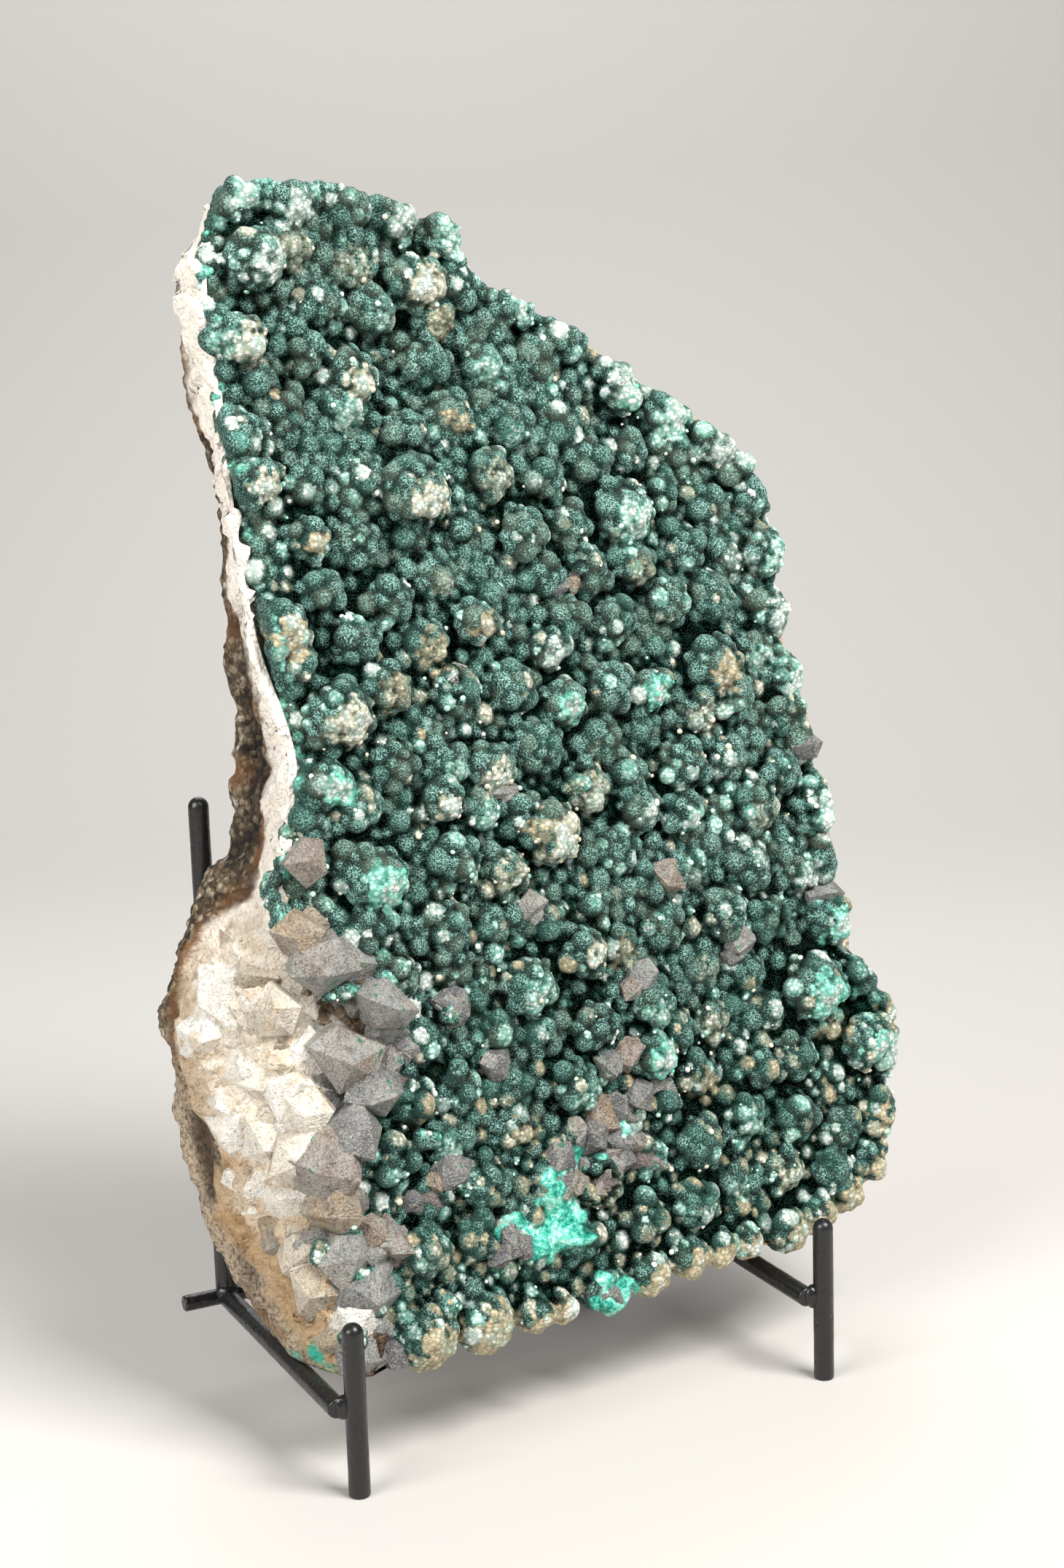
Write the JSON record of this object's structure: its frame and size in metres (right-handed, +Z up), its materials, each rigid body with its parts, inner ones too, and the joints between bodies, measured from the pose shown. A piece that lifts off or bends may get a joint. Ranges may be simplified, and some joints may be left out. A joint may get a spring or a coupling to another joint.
{
  "type": "botryoidal malachite specimen",
  "caption": "Tall slab of rock with a knobbly green malachite crust on its face and pale quartz at its edge, leaning on a small stand of black rods.",
  "frame": {"origin": "bottom centre of the whole object's bounding box, on the ground under the feet", "axes": "+Z up, +X along the two front pegs to the viewer's right, +Y from the front of the stand to its back"},
  "size_m": [0.19, 0.0906, 0.295],
  "materials": {
    "malachite": "dark blue-green malachite beads, velvety, with cream, mint and turquoise tips",
    "quartz": "cream and smoky grey quartz, broken faces with a waxy shine",
    "matrix": "rough brown granular rock with rust stains",
    "coated_steel": "glossy black coating with a fine orange peel"
  },
  "bodies": {
    "root": {"specimen": "malachite", "front_peg_left": "coated_steel", "front_peg_right": "coated_steel", "side_arm_left": "coated_steel", "side_arm_right": "coated_steel", "rear_crossbar": "coated_steel", "back_post_left": "coated_steel", "back_post_right": "coated_steel", "rear_leg_left": "coated_steel", "rear_leg_right": "coated_steel"}
  },
  "joints": []
}
